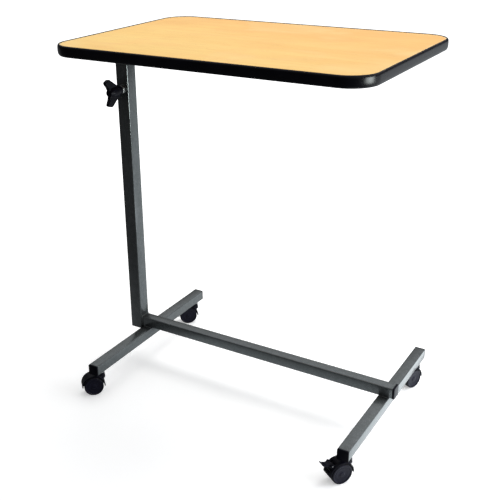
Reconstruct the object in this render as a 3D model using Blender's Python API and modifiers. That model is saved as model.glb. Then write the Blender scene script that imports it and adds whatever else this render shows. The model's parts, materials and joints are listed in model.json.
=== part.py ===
# Overbed table: a laminate board on a telescoping square column, standing over an H-shaped base on
# four twin-wheel casters. Metres, +Z up. The origin is on the floor under the middle of the object's
# bounding box. +X runs along the base away from the column, and -Y, the front, carries the clamping
# knob. Sizes are in millimetres, measured from the column's axis; frame_origin moves it all.
import math

import bmesh
import bpy
from mathutils import Euler, Matrix, Vector

MM = 0.001
GAP = 0.3  # clearance between separate pieces

# ---------------------------------------------------------------- driving dimensions
COLUMN = 28.0  # outer tube, square
COLUMN_WALL = 1.5
COLUMN_HALF = COLUMN / 2
COLUMN_Z0 = 67.5
COLUMN_Z1 = 660.0
STOCK = 22.0  # square tube of the base, the sliding tube and the rail
STOCK_WALL = 1.5
STOCK_HALF = STOCK / 2
TUBE_CORNER = 2.2
TUBE_INNER_CORNER = 0.9

FOOT_Z0 = 50.0
FOOT_Z = FOOT_Z0 + STOCK_HALF
FOOT_HALF = 200.0  # over the end plugs
NEAR_FOOT_X = 27.0  # tube centrelines
FAR_FOOT_X = 576.0
SPINE_Z = FOOT_Z0 + STOCK + GAP + STOCK_HALF
SPINE_END = 597.0  # over the end cap

INNER_Z0 = 104.0  # lower end of the sliding tube
RAIL_Z0 = 668.0
RAIL_Z = RAIL_Z0 + STOCK_HALF
RAIL_X0 = -STOCK_HALF  # level with the sliding tube
RAIL_X1 = 500.0

TOP_LENGTH = 600.0  # board and edge moulding, along X
TOP_DEPTH = 410.0  # along Y
TOP_X0 = -COLUMN_HALF  # level with the column's outer face
TOP_RADIUS = 50.0
TOP_HEIGHT = 711.4  # upper lip of the edge moulding with the column fully down
BOARD_Z0 = 693.0

CASTER_Y = 178.0  # stem axis from the base's middle plane
CASTERS = {  # place: stem x, stem y, swivel in degrees
    "front_left": (NEAR_FOOT_X, -CASTER_Y, -44.0),
    "front_right": (FAR_FOOT_X, -CASTER_Y, -35.0),
    "rear_left": (NEAR_FOOT_X, CASTER_Y, -48.0),
    "rear_right": (FAR_FOOT_X, CASTER_Y, -22.0),
}
BRAKED_CASTER = "front_right"
STEM_RADIUS = 4.0
STEM_BORE = STEM_RADIUS + GAP

KNOB_Z = 597.0
STUD_RADIUS = 4.0
STUD_BORE = STUD_RADIUS + GAP

CENTRE_X = (TOP_X0 + SPINE_END) / 2  # middle of the bounding box
CENTRE_Y = -10.3

# ---------------------------------------------------------------- scene and materials
for old in list(bpy.data.objects):
    bpy.data.objects.remove(old, do_unlink=True)

main = bpy.data.collections.new("overbed_table")
tools = bpy.data.collections.new("cutters")
for group in (main, tools):
    bpy.context.scene.collection.children.link(group)


def material(name, colour, metallic, roughness):
    mat = bpy.data.materials.new(name)
    mat.use_nodes = True
    inputs = mat.node_tree.nodes["Principled BSDF"].inputs
    inputs["Base Color"].default_value = (*colour, 1.0)
    inputs["Metallic"].default_value = metallic
    inputs["Roughness"].default_value = roughness
    return mat


PAINT = material("frame_paint", colour=(0.115, 0.130, 0.135), metallic=0.35, roughness=0.42)
BLACK = material("black_plastic", colour=(0.012, 0.012, 0.015), metallic=0.0, roughness=0.45)
WHEEL = material("wheel_plastic", colour=(0.020, 0.022, 0.032), metallic=0.0, roughness=0.40)
BEECH = material("beech_laminate", colour=(0.90, 0.62, 0.27), metallic=0.0, roughness=0.35)
CORE = material("board_core", colour=(0.45, 0.31, 0.18), metallic=0.0, roughness=0.85)
PVC = material("edge_pvc", colour=(0.010, 0.010, 0.011), metallic=0.0, roughness=0.32)
ZINC = material("zinc_steel", colour=(0.55, 0.56, 0.57), metallic=1.0, roughness=0.35)
NYLON = material("nylon", colour=(0.05, 0.05, 0.055), metallic=0.0, roughness=0.5)


# ---------------------------------------------------------------- objects
def new_object(name, data, group, location=(0, 0, 0), rotation=(0, 0, 0), parent=None):
    """An object placed in millimetres and turned in degrees."""
    obj = bpy.data.objects.new(name, data)
    group.objects.link(obj)
    obj.location = Vector(location) * MM
    obj.rotation_euler = Euler([math.radians(angle) for angle in rotation])
    obj.parent = parent
    return obj


root = new_object("frame_origin", None, main, (-CENTRE_X, -CENTRE_Y, 0))


def add_empty(name, location, rotation=(0, 0, 0), parent=root):
    obj = new_object(name, None, main, location, rotation, parent)
    obj.empty_display_size = 0.02
    return obj


def add_part(name, mesh, mat, location=(0, 0, 0), rotation=(0, 0, 0), parent=root, smooth=None):
    """A finished piece; smooth is the angle above which edges stay sharp."""
    obj = new_object(name, mesh, main, location, rotation, parent)
    mesh.materials.clear()
    mesh.materials.append(mat)
    if smooth is not None:
        for poly in mesh.polygons:
            poly.use_smooth = True
        mesh.set_sharp_from_angle(angle=math.radians(smooth))
    return obj


def add_helper(name, mesh, location=(0, 0, 0), parent=None):
    obj = new_object(name, mesh, tools, location, parent=parent)
    obj.hide_render = True
    obj.display_type = "WIRE"
    return obj


# ---------------------------------------------------------------- outlines
def rounded(half_u, half_v, radius, steps, u=0.0, v=0.0):
    """A rectangle with rounded corners, centred on (u, v)."""
    points = []
    for k, (side_u, side_v) in enumerate(((1, 1), (-1, 1), (-1, -1), (1, -1))):
        for i in range(steps + 1):
            angle = math.radians(90 * k + 90 * i / steps)
            points.append((
                u + side_u * (half_u - radius) + radius * math.cos(angle),
                v + side_v * (half_v - radius) + radius * math.sin(angle),
            ))
    return points


def square(half, radius=TUBE_CORNER, steps=4):
    return rounded(half, half, radius, steps)


def spigot_outline(size, wall, radius=0.8):
    """Fits inside a square tube."""
    return square(size / 2 - wall - GAP, radius, 2)


def circle(radius, steps, u=0.0, v=0.0, turn=0.0):
    angles = [turn + 2 * math.pi * i / steps for i in range(steps)]
    return [(u + radius * math.cos(angle), v + radius * math.sin(angle)) for angle in angles]


# ---------------------------------------------------------------- meshes
AXES = {
    "XY": Matrix(((1, 0, 0), (0, 1, 0), (0, 0, 1))),
    "YZ": Matrix(((0, 0, 1), (1, 0, 0), (0, 1, 0))),
    "XZ": Matrix(((1, 0, 0), (0, 0, -1), (0, 1, 0))),
}
ADD = "UNION"
CUT = "DIFFERENCE"


def solid_of(obj, name, transform=Matrix.Identity(4)):
    """The finished, welded mesh of a helper object; the helper is removed."""
    bpy.context.view_layer.update()
    depsgraph = bpy.context.evaluated_depsgraph_get()
    mesh = bpy.data.meshes.new_from_object(obj.evaluated_get(depsgraph))
    bpy.data.objects.remove(obj, do_unlink=True)
    mesh.name = name
    bm = bmesh.new()
    bm.from_mesh(mesh)
    bmesh.ops.remove_doubles(bm, verts=bm.verts, dist=1e-6)
    bmesh.ops.transform(bm, matrix=transform, verts=bm.verts)
    bmesh.ops.recalc_face_normals(bm, faces=bm.faces)
    bm.to_mesh(mesh)
    bm.free()
    return mesh


def prism(name, loops, start, end, plane="XY"):
    """Flat outlines (holes included) drawn on a plane and given thickness across it.
    On XZ the thickness runs towards -Y."""
    curve = bpy.data.curves.new(name, "CURVE")
    curve.dimensions = "2D"
    curve.fill_mode = "BOTH"
    curve.extrude = (end - start) * 0.5 * MM
    for loop in loops:
        spline = curve.splines.new("POLY")
        spline.points.add(len(loop) - 1)
        for point, (u, v) in zip(spline.points, loop):
            point.co = (u * MM, v * MM, 0.0, 1.0)
        spline.use_cyclic_u = True
    to_middle = Matrix.Translation((0, 0, (start + end) * 0.5 * MM))
    outline = new_object(name + "_outline", curve, tools)
    return solid_of(outline, name, AXES[plane].to_4x4() @ to_middle)


def turned(name, profile, steps, closed=False):
    """A turned shape about Z, from (radius, z) points."""
    bm = bmesh.new()
    verts = [bm.verts.new((radius * MM, 0.0, z * MM)) for radius, z in profile]
    for pair in zip(verts, verts[1:]):
        bm.edges.new(pair)
    if closed:
        bm.edges.new((verts[-1], verts[0]))
    mesh = bpy.data.meshes.new(name)
    bm.to_mesh(mesh)
    bm.free()
    lathe = new_object(name + "_profile", mesh, tools)
    mod = lathe.modifiers.new("turn", "SCREW")
    mod.axis = "Z"
    mod.angle = 2 * math.pi
    mod.steps = mod.render_steps = steps
    mod.use_merge_vertices = True
    mod.merge_threshold = 0.00001
    mod.use_smooth_shade = False
    return solid_of(lathe, name)


def boolean(obj, tool, operation=CUT):
    mod = obj.modifiers.new(operation.lower(), "BOOLEAN")
    mod.operation = operation
    mod.solver = "EXACT"
    mod.object = tool


def bevelled(name, mesh, width, segments, angle):
    """The mesh with its edges sharper than the angle bevelled."""
    body = add_helper(name, mesh)
    mod = body.modifiers.new("edges", "BEVEL")
    mod.width = width * MM
    mod.segments = segments
    mod.limit_method = "ANGLE"
    mod.angle_limit = math.radians(angle)
    return solid_of(body, name)


def combine(name, first, steps):
    """One solid from several meshes; steps is a list of (operation, mesh)."""
    body = add_helper(name + "_body", first)
    helpers = []
    for i, (operation, mesh) in enumerate(steps):
        helper = add_helper(f"{name}_step_{i}", mesh)
        helpers.append(helper)
        boolean(body, helper, operation)
    solid = solid_of(body, name)
    for helper in helpers:
        bpy.data.objects.remove(helper, do_unlink=True)
    return solid


def tube(name, size, wall, start, end, plane):
    half = size / 2
    loops = [square(half), square(half - wall, TUBE_INNER_CORNER, 3)]
    return prism(name, loops, start, end, plane)


def plug(name, plane, flange, flange_span, spigot, spigot_span):
    """A flange with a spigot; each is an outline and its (start, end) across the plane."""
    body = prism("flange", [flange], *flange_span, plane)
    return combine(name, body, [(ADD, prism("spigot", [spigot], *spigot_span, plane))])


COLUMN_SPIGOT = spigot_outline(COLUMN, COLUMN_WALL)
STOCK_SPIGOT = spigot_outline(STOCK, STOCK_WALL)

# ---------------------------------------------------------------- column
STUD_HOLE_RADIUS = 4.6
BOSS_RADIUS = 9.2  # over the corners of the hexagon
BOSS_HEIGHT = 7.0
BUSH_SLEEVE = 40.0  # depth inside the column
BUSH_FLANGE_TOP = 3.3  # above the column's end

column_mesh = tube("column_outer_tube", COLUMN, COLUMN_WALL, COLUMN_Z0, COLUMN_Z1, "XY")
column = add_part("column_outer_tube", column_mesh, PAINT)
# Through the front wall only.
stud_hole = prism(
    "column_stud_hole", [circle(STUD_HOLE_RADIUS, 24, 0, KNOB_Z)],
    COLUMN_HALF - 4, COLUMN_HALF + 4, "XZ",
)
boolean(column, add_helper("column_stud_hole", stud_hole, parent=root))

bottom_plug = plug(
    "column_bottom_plug", "XY",
    square(COLUMN_HALF), (COLUMN_Z0 - 1.5, COLUMN_Z0 - GAP),
    COLUMN_SPIGOT, (COLUMN_Z0 - 1.0, COLUMN_Z0 + 13),
)
add_part("column_bottom_plug", bottom_plug, BLACK)

# A plug with a bore in which the inner tube slides.
bush = combine(
    "column_top_bush",
    prism("flange", [square(COLUMN_HALF)], COLUMN_Z1 + GAP, COLUMN_Z1 + BUSH_FLANGE_TOP),
    [
        (ADD, prism("sleeve", [COLUMN_SPIGOT], COLUMN_Z1 - BUSH_SLEEVE, COLUMN_Z1 + 1.5)),
        (CUT, prism("bore", [square(STOCK_HALF + GAP)], COLUMN_Z1 - 50, COLUMN_Z1 + 10)),
    ],
)
add_part("column_top_bush", bush, NYLON)

boss_loops = [
    circle(BOSS_RADIUS, 6, 0, KNOB_Z, math.radians(30)),
    circle(STUD_BORE, 24, 0, KNOB_Z),
]
boss = prism("clamp_boss", boss_loops, COLUMN_HALF + GAP, COLUMN_HALF + BOSS_HEIGHT, "XZ")
add_part("clamp_boss", boss, ZINC)

# ---------------------------------------------------------------- base spine
CAP_THICKNESS = 4.0
CAP_OVERHANG = 0.4
CAP_CORNER = 2.4

cap_x = SPINE_END - CAP_THICKNESS
spine = tube("spine_tube", STOCK, STOCK_WALL, COLUMN_HALF + GAP, cap_x - GAP, "YZ")
add_part("spine_tube", spine, PAINT, (0, 0, SPINE_Z))
spine_cap = plug(
    "spine_end_cap", "YZ",
    square(STOCK_HALF + CAP_OVERHANG, CAP_CORNER), (cap_x, SPINE_END),
    STOCK_SPIGOT, (SPINE_END - 18, SPINE_END - 2),
)
add_part("spine_end_cap", spine_cap, BLACK, (0, 0, SPINE_Z))

# ---------------------------------------------------------------- feet and caster sockets
FOOT_FLANGE = 2.7  # thickness of the plug's flange
SOCKET_RADIUS = 6.0
SOCKET = [  # (radius, z)
    (SOCKET_RADIUS, 66.0), (SOCKET_RADIUS, FOOT_Z0 - GAP), (9.0, FOOT_Z0 - GAP), (9.0, 48.0),
    (STEM_BORE, 48.0), (STEM_BORE, 66.0),
]


def add_foot(name, x):
    """A foot tube with a socket hole in its underside and a plug at each end."""
    place = (x, 0, FOOT_Z)
    tube_end = FOOT_HALF - FOOT_FLANGE - GAP
    foot_mesh = tube(name, STOCK, STOCK_WALL, -tube_end, tube_end, "XZ")
    foot = add_part(name + "_tube", foot_mesh, PAINT, place)
    for end, side, turn in (("front", -1, 0), ("rear", 1, 180)):
        outline = circle(SOCKET_RADIUS + GAP, 28, 0, side * CASTER_Y)
        hole = prism("hole", [outline], -STOCK_HALF - 3, -STOCK_HALF + 4)
        boolean(foot, add_helper(f"{name}_{end}_hole", hole, place, root))
        end_plug = plug(
            "foot_plug", "XZ",
            square(STOCK_HALF), (FOOT_HALF - FOOT_FLANGE, FOOT_HALF),
            STOCK_SPIGOT, (FOOT_HALF - 13.5, FOOT_HALF - 1.5),
        )
        add_part(f"{name}_{end}_plug", end_plug, BLACK, place, (0, 0, turn))


add_foot("column_foot", NEAR_FOOT_X)
add_foot("far_foot", FAR_FOOT_X)
for place, (x, y, _) in CASTERS.items():
    socket = turned("caster_socket", SOCKET, 20, closed=True)
    add_part("caster_socket_" + place, socket, ZINC, (x, y, 0), smooth=35)

# ---------------------------------------------------------------- sliding tube and rail
upper = add_empty("upper_slide", (0, 0, 0))

inner = tube("inner_tube", STOCK, STOCK_WALL, INNER_Z0, RAIL_Z0 - GAP, "XY")
add_part("inner_tube", inner, PAINT, parent=upper)

# The glide runs in the outer column, just clear of its walls.
glide = plug(
    "inner_tube_glide", "XY",
    square(COLUMN_HALF - COLUMN_WALL - 0.4, 0.8, 2), (INNER_Z0 - 4.3, INNER_Z0 - GAP),
    spigot_outline(STOCK, STOCK_WALL, 0.6), (INNER_Z0 - 2, INNER_Z0 + 18),
)
add_part("inner_tube_glide", glide, NYLON, parent=upper)

rail = tube("support_rail", STOCK, STOCK_WALL, RAIL_X0, RAIL_X1, "YZ")
add_part("support_rail", rail, PAINT, (0, 0, RAIL_Z), parent=upper)
for end, x, turn in (("left", RAIL_X0, 180), ("right", RAIL_X1, 0)):
    rail_plug = plug(
        "rail_plug", "YZ", square(STOCK_HALF), (GAP, 2.5), STOCK_SPIGOT, (-12, 1.2)
    )
    add_part("rail_plug_" + end, rail_plug, BLACK, (x, 0, RAIL_Z), (0, 0, turn), upper)

# ---------------------------------------------------------------- cross straps and board screws
STRAP_X = {"near_column": 120.0, "far": 440.0}
STRAP_HALF_X = 12.5
STRAP_HALF_Y = 150.0
STRAP_CORNER = 3.0
STRAP_HOLE = 2.5
SCREW_Y = 130.0
SCREW_RADIUS = 2.0
SCREW = [  # (radius, z): point at the top, thread, head under the strap
    (0, 705.5), (0.6, 705.0), (SCREW_RADIUS, 701.5), (SCREW_RADIUS, 690.0),
    (4.2, 690.0), (4.2, 688.6), (3.2, 687.4), (0, 687.1),
]
screw_places = [(x, side * SCREW_Y) for x in STRAP_X.values() for side in (-1, 1)]

for side, x in STRAP_X.items():
    loops = [rounded(STRAP_HALF_X, STRAP_HALF_Y, STRAP_CORNER, 3, x, 0)]
    loops += [circle(STRAP_HOLE, 16, x, y) for y in (-SCREW_Y, SCREW_Y)]
    strap = prism("cross_strap", loops, RAIL_Z0 + STOCK + GAP, BOARD_Z0 - GAP)
    add_part("cross_strap_" + side, strap, PAINT, parent=upper)

for number, (x, y) in enumerate(screw_places, 1):
    screw = turned("board_screw", SCREW, 12)
    add_part(f"board_screw_{number}", screw, ZINC, (x, y, 0), parent=upper, smooth=35)

# ---------------------------------------------------------------- board, laminate, edge moulding
MOULDING_HEIGHT = 19.0
MOULDING_LIP = 4.0  # width seen from above
MOULDING_Z0 = TOP_HEIGHT - MOULDING_HEIGHT
TONGUE_Z = TOP_HEIGHT - MOULDING_HEIGHT / 2
TONGUE_HALF = 1.2
TONGUE_REACH = 12.0  # in from the moulding's outer face
GROOVE_REACH = 12.6
GROOVE_HALF = TONGUE_HALF + GAP
BOARD_INSET = MOULDING_LIP + GAP
LAMINATE = 1.0
LAMINATE_Z1 = TOP_HEIGHT - 0.7  # just below the moulding's lip
LAMINATE_Z0 = LAMINATE_Z1 - LAMINATE
PILOT_DEPTH = 13.5


def slab(name, grow, z0, z1):
    """The top's outline grown or shrunk by a margin."""
    half_x = TOP_LENGTH / 2
    outline = rounded(
        half_x + grow, TOP_DEPTH / 2 + grow, TOP_RADIUS + grow, 7, TOP_X0 + half_x, 0
    )
    return prism(name, [outline], z0, z1)


# A ring that cuts the groove round the board's edge.
groove = combine(
    "board_groove",
    slab("outer", 10.0, TONGUE_Z - GROOVE_HALF, TONGUE_Z + GROOVE_HALF),
    [(CUT, slab("inner", -GROOVE_REACH, TONGUE_Z - 4, TONGUE_Z + 4))],
)
board_cuts = [(CUT, groove)]
for x, y in screw_places:
    outline = circle(SCREW_RADIUS + GAP, 16, x, y)
    board_cuts.append((CUT, prism("pilot", [outline], BOARD_Z0 - 3, BOARD_Z0 + PILOT_DEPTH)))
board = slab("board", -BOARD_INSET, BOARD_Z0, LAMINATE_Z0 - GAP)
add_part("tabletop_board", combine("tabletop_board", board, board_cuts), CORE, parent=upper)

laminate = slab("tabletop_laminate", -BOARD_INSET, LAMINATE_Z0, LAMINATE_Z1)
add_part("tabletop_laminate", laminate, BEECH, parent=upper)

# Clearing above, below and inside leaves a rim with a tongue.
blank = slab("nose", 0.0, MOULDING_Z0, TOP_HEIGHT)
moulding = combine(
    "edge_moulding",
    bevelled("edge_moulding", blank, width=3.4, segments=3, angle=60.0),
    [
        (CUT, slab("above", -MOULDING_LIP, TONGUE_Z + TONGUE_HALF, TOP_HEIGHT + 4)),
        (CUT, slab("below", -MOULDING_LIP, MOULDING_Z0 - 4, TONGUE_Z - TONGUE_HALF)),
        (CUT, slab("throat", -TONGUE_REACH, TONGUE_Z - 3, TONGUE_Z + 3)),
    ],
)
add_part("edge_moulding", moulding, PVC, parent=upper, smooth=50)

# ---------------------------------------------------------------- clamp: pad, stud and wing knob
# In the clamp's axes +Z points out of the column along -Y, from its front face, and +Y points up.
KNOB_TILT = 5.7
KNOB_BASE = 8.4
WING_HALF_THICKNESS = 4.2
# Turned profiles: (radius, z)
PAD = [(0, 3.2), (1.4, 3.2), (1.4, 0.5), (3.7, 0.5), (3.7, -2.3), (3.3, -2.7), (0, -2.7)]
STUD = [  # ends in a blind hole for the pad's pip
    (0, 34.0), (3.4, 34.0), (STUD_RADIUS, 33.2), (STUD_RADIUS, 1.4), (3.4, 0.8), (1.7, 0.8),
    (1.7, 3.6), (0, 3.6),
]
HUB = [
    (0, 43.4), (4.5, 43.0), (8.4, 39.6), (10.0, 32.0), (10.6, 22.0), (10.0, 14.0),
    (8.8, KNOB_BASE), (STUD_BORE, KNOB_BASE), (STUD_BORE, 34.6), (0, 34.6),
]
HUB_CORE = [(0, 41.4), (7.0, 38.4), (8.2, 30.0), (7.4, 8.0), (7.0, 7.0), (0, 7.0)]
# Outline of the +Y wing: (y, z)
WING = [
    (8.8, KNOB_BASE), (9.2, 12.0), (11.2, 17.0), (24.2, 36.0), (26.0, 38.6), (26.6, 41.2),
    (24.2, 47.8), (22.8, 50.4), (20.6, 51.4), (17.8, 50.0), (11.5, 45.4), (6.0, 43.2),
]
WING_MIDDLE = (0.0, 42.6)

clamp = add_empty("clamp_axis", (0, -COLUMN_HALF, KNOB_Z), (90, 0, 0))
add_part("clamp_pad", turned("clamp_pad", PAD, 16), NYLON, parent=clamp, smooth=35)
add_part("clamp_stud", turned("clamp_stud", STUD, 18), ZINC, parent=clamp, smooth=35)

wing_outline = WING + [WING_MIDDLE] + [(-y, z) for y, z in reversed(WING)]
wings = prism("knob_wings", [wing_outline], -WING_HALF_THICKNESS, WING_HALF_THICKNESS, "YZ")
# The wings are cored out first, so that the hub keeps its bore.
knob = combine(
    "clamp_knob",
    bevelled("knob_wings", wings, width=1.3, segments=2, angle=50.0),
    [(CUT, turned("core", HUB_CORE, 24)), (ADD, turned("hub", HUB, 28))],
)
add_part("clamp_knob", knob, BLACK, rotation=(0, 0, KNOB_TILT), parent=clamp, smooth=40)

# ---------------------------------------------------------------- casters
# In a caster's axes the stem stands on Z, and the axle runs along X and trails towards -Y.
CASTER_TRAIL = 16.0
WHEEL_RADIUS = 20.0
WHEEL_IN, WHEEL_OUT = 3.3, 13.3  # wheel faces from the caster's middle plane
AXLE_Y, AXLE_Z = -CASTER_TRAIL, WHEEL_RADIUS
AXLE_RADIUS = 2.5
AXLE_BORE = AXLE_RADIUS + GAP
HOOD_RADIUS = 24.0
HOOD_HALF = 12.6
HOOD_THICKNESS = 2.4
FENDER_START, FENDER_END = -2, 184  # degrees round the axle
WEB_HALF = 2.5
# Turned profiles: (radius, z)
STEM = [
    (0, 66.5), (2.8, 66.5), (STEM_RADIUS, 65.0), (STEM_RADIUS, 40.5), (3.4, 39.8), (0, 39.8),
]
AXLE = [
    (0, 10.6), (2.2, 10.6), (AXLE_RADIUS, 10.2), (AXLE_RADIUS, -10.2), (2.2, -10.6), (0, -10.6),
]
NECK = [(0, 47.7), (8.6, 47.7), (8.6, 44.0), (9.4, 37.0), (9.4, 34.5), (0, 34.5)]
NECK_BORE = [(0, 60.0), (STEM_BORE, 60.0), (STEM_BORE, 39.5), (0, 39.5)]
# About the axle, with the outer face towards +Z; the bore opens on the inner face.
WHEEL_PROFILE = [
    (0, 12.4), (4.2, 12.4), (5.0, 11.9), (15.4, 12.2), (16.4, WHEEL_OUT), (19.0, WHEEL_OUT),
    (WHEEL_RADIUS, 12.3), (WHEEL_RADIUS, 4.3), (19.0, WHEEL_IN), (AXLE_BORE, WHEEL_IN),
    (AXLE_BORE, 11.0), (0, 11.0),
]


def around_axle(angle, radius):
    """A (y, z) point; 0 degrees points along the trail, 90 straight up."""
    angle = math.radians(angle)
    return (AXLE_Y - radius * math.cos(angle), AXLE_Z + radius * math.sin(angle))


def arc(radius, start, end, steps):
    return [around_axle(start + (end - start) * i / steps, radius) for i in range(steps + 1)]


# Brake lever, outlines in (y, z) about its pivot
PIVOT = around_axle(48.0, 27.3)
PIN_RADIUS = 1.2
PIN_BORE = PIN_RADIUS + GAP
LUG_HALF = 9.4  # half widths along X
SLOT_HALF = 6.6
BARREL_RADIUS = 2.9
PIN = [(0, 9.2), (1.0, 9.2), (PIN_RADIUS, 9.0), (PIN_RADIUS, -9.0), (1.0, -9.2), (0, -9.2)]
TAB = [  # rises outwards
    (0.5, 2.6), (-6.0, 3.2), (-12.0, 4.4), (-16.2, 6.4), (-18.8, 8.5),
    (-19.8, 7.6), (-17.2, 4.0), (-12.0, 0.6), (-5.5, -1.6), (-1.0, -2.6),
]
NOSE = [  # reaches through the hood's slot
    (-2.2, -1.0), (-2.2, -5.0), (-3.6, -9.0), (-2.4, -12.2),
    (-1.2, -12.0), (-0.2, -9.4), (1.4, -5.0), (2.2, 0.0),
]


def hood_mesh(braked):
    """Fender, stem neck and middle web; the braked one adds a slot between lugs."""
    fender = arc(HOOD_RADIUS, FENDER_START, FENDER_END, 16)
    fender += arc(HOOD_RADIUS - HOOD_THICKNESS, FENDER_END, FENDER_START, 16)
    web = arc(HOOD_RADIUS - 1.0, FENDER_START, FENDER_END, 12) + arc(14.0, 200, 340, 6)
    wheel_room = circle(HOOD_RADIUS - 2.7, 28, AXLE_Y, AXLE_Z)
    steps = [
        (ADD, turned("neck", NECK, 20)),
        (CUT, prism("wheel_room", [wheel_room], -16, 16, "YZ")),
        (ADD, prism("web", [web], -WEB_HALF, WEB_HALF, "YZ")),
    ]
    if braked:
        lugs = arc(HOOD_RADIUS - 1.4, 37, 59, 4) + arc(30.8, 53.5, 42.5, 4)
        slot = arc(HOOD_RADIUS + 9, 12, 66, 8) + arc(HOOD_RADIUS - 5.0, 66, 12, 8)
        steps += [
            (ADD, prism("lugs", [lugs], -LUG_HALF, LUG_HALF, "YZ")),
            (CUT, prism("slot", [slot], -SLOT_HALF, SLOT_HALF, "YZ")),
            (CUT, prism("pin_hole", [circle(PIN_BORE, 16, *PIVOT)], -12, 12, "YZ")),
        ]
    axle_bore = circle(AXLE_BORE, 14, AXLE_Y, AXLE_Z)
    steps += [
        (CUT, turned("stem_bore", NECK_BORE, 18)),
        (CUT, prism("axle_bore", [axle_bore], -20, 20, "YZ")),
    ]
    return combine("hood", prism("fender", [fender], -HOOD_HALF, HOOD_HALF, "YZ"), steps)


def add_brake(place, swivel):
    pivot = (0, *PIVOT)
    hinge = add_empty("brake_pivot_" + place, pivot, parent=swivel)
    lever = combine(
        "brake_lever",
        prism("barrel", [circle(BARREL_RADIUS, 20)], -6.2, 6.2, "YZ"),
        [
            (ADD, prism("tab", [TAB], -6.0, 6.0, "YZ")),
            (ADD, prism("nose", [NOSE], -5.8, 5.8, "YZ")),
            (CUT, prism("bore", [circle(PIN_BORE, 16)], -10, 10, "YZ")),
        ],
    )
    add_part("brake_lever_" + place, lever, BLACK, parent=hinge, smooth=40)
    pin = turned("brake_pin", PIN, 16)
    add_part("brake_pin_" + place, pin, ZINC, pivot, (0, 90, 0), swivel, smooth=35)


def add_caster(place, x, y, turn, hood):
    swivel = add_empty("caster_swivel_" + place, (x, y, 0), (0, 0, turn))
    stem = turned("caster_stem", STEM, 18)
    add_part("caster_stem_" + place, stem, ZINC, parent=swivel, smooth=35)
    add_part("caster_hood_" + place, hood, BLACK, parent=swivel, smooth=40)
    centre = (0, AXLE_Y, AXLE_Z)
    axle = turned("caster_axle", AXLE, 14)
    add_part("caster_axle_" + place, axle, ZINC, centre, (0, 90, 0), swivel, smooth=35)
    # "outer" is the wheel on the caster's +X side, "inner" the one on its -X side.
    for side, tip in (("outer", 90), ("inner", -90)):
        wheel = turned("caster_wheel", WHEEL_PROFILE, 24)
        name = f"caster_wheel_{side}_{place}"
        add_part(name, wheel, WHEEL, centre, (0, tip, 0), swivel, smooth=30)
    if place == BRAKED_CASTER:
        add_brake(place, swivel)


plain_hood = hood_mesh(braked=False)
for place, (x, y, turn) in CASTERS.items():
    hood = hood_mesh(braked=True) if place == BRAKED_CASTER else plain_hood.copy()
    add_caster(place, x, y, turn, hood)
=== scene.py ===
"""Overbed table: detailed skins and finishes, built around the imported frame.

Metres, +Z up, floor at z = 0. The column stands at one end of the base, its clamping knob on the
-Y side, and the spine runs from it along +X to the far foot. Builders of single pieces work in mm.
"""
import json
import math

import bmesh
import bpy
import numpy as np
from mathutils import Matrix, Vector


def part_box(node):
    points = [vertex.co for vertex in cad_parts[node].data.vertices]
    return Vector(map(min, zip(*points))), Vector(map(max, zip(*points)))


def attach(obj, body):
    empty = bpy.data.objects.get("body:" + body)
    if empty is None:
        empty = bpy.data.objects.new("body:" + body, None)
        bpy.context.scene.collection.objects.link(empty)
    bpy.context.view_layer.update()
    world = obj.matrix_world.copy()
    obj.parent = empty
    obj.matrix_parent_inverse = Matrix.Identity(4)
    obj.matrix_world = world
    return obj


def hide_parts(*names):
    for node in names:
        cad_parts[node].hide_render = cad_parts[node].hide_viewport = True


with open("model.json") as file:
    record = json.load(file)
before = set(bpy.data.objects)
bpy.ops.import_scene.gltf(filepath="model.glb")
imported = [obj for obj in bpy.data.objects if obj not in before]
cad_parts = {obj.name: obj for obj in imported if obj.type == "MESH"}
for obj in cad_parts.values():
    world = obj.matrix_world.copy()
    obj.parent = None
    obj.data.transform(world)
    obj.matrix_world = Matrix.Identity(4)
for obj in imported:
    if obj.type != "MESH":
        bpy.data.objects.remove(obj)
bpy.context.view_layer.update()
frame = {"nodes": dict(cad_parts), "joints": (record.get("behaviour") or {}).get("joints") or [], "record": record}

scene = bpy.context.scene
nodes = frame["nodes"]
joints = {joint["name"]: joint for joint in frame["joints"]}
slot_of = {sub["node"]: sub["material_slot"] for sub in frame["record"]["subparts"]}

MM = 0.001

column_lo, column_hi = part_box("column_outer_tube")
OX, OY = (column_lo.x + column_hi.x) / 2, (column_lo.y + column_hi.y) / 2  # the column's axis, m
COLUMN_HALF = (column_hi.x - column_lo.x) / 2 / MM
ORIGIN = Matrix.Translation((OX, OY, 0.0))

boss_lo, boss_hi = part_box("clamp_boss")
BOSS_Z = (boss_lo.z + boss_hi.z) / 2 / MM
BOSS_RADIUS = (boss_hi.z - boss_lo.z) / 2 / MM

TOP_CORNER = 50.0  # corner radius of the table top
SHEET_INSET = 4.12  # from the moulding's outer face to the laminate sheet
PRINT_HALF_X, PRINT_HALF_Y = 300.0, 205.0  # nominal half sides of the top, for the printed rim


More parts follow.
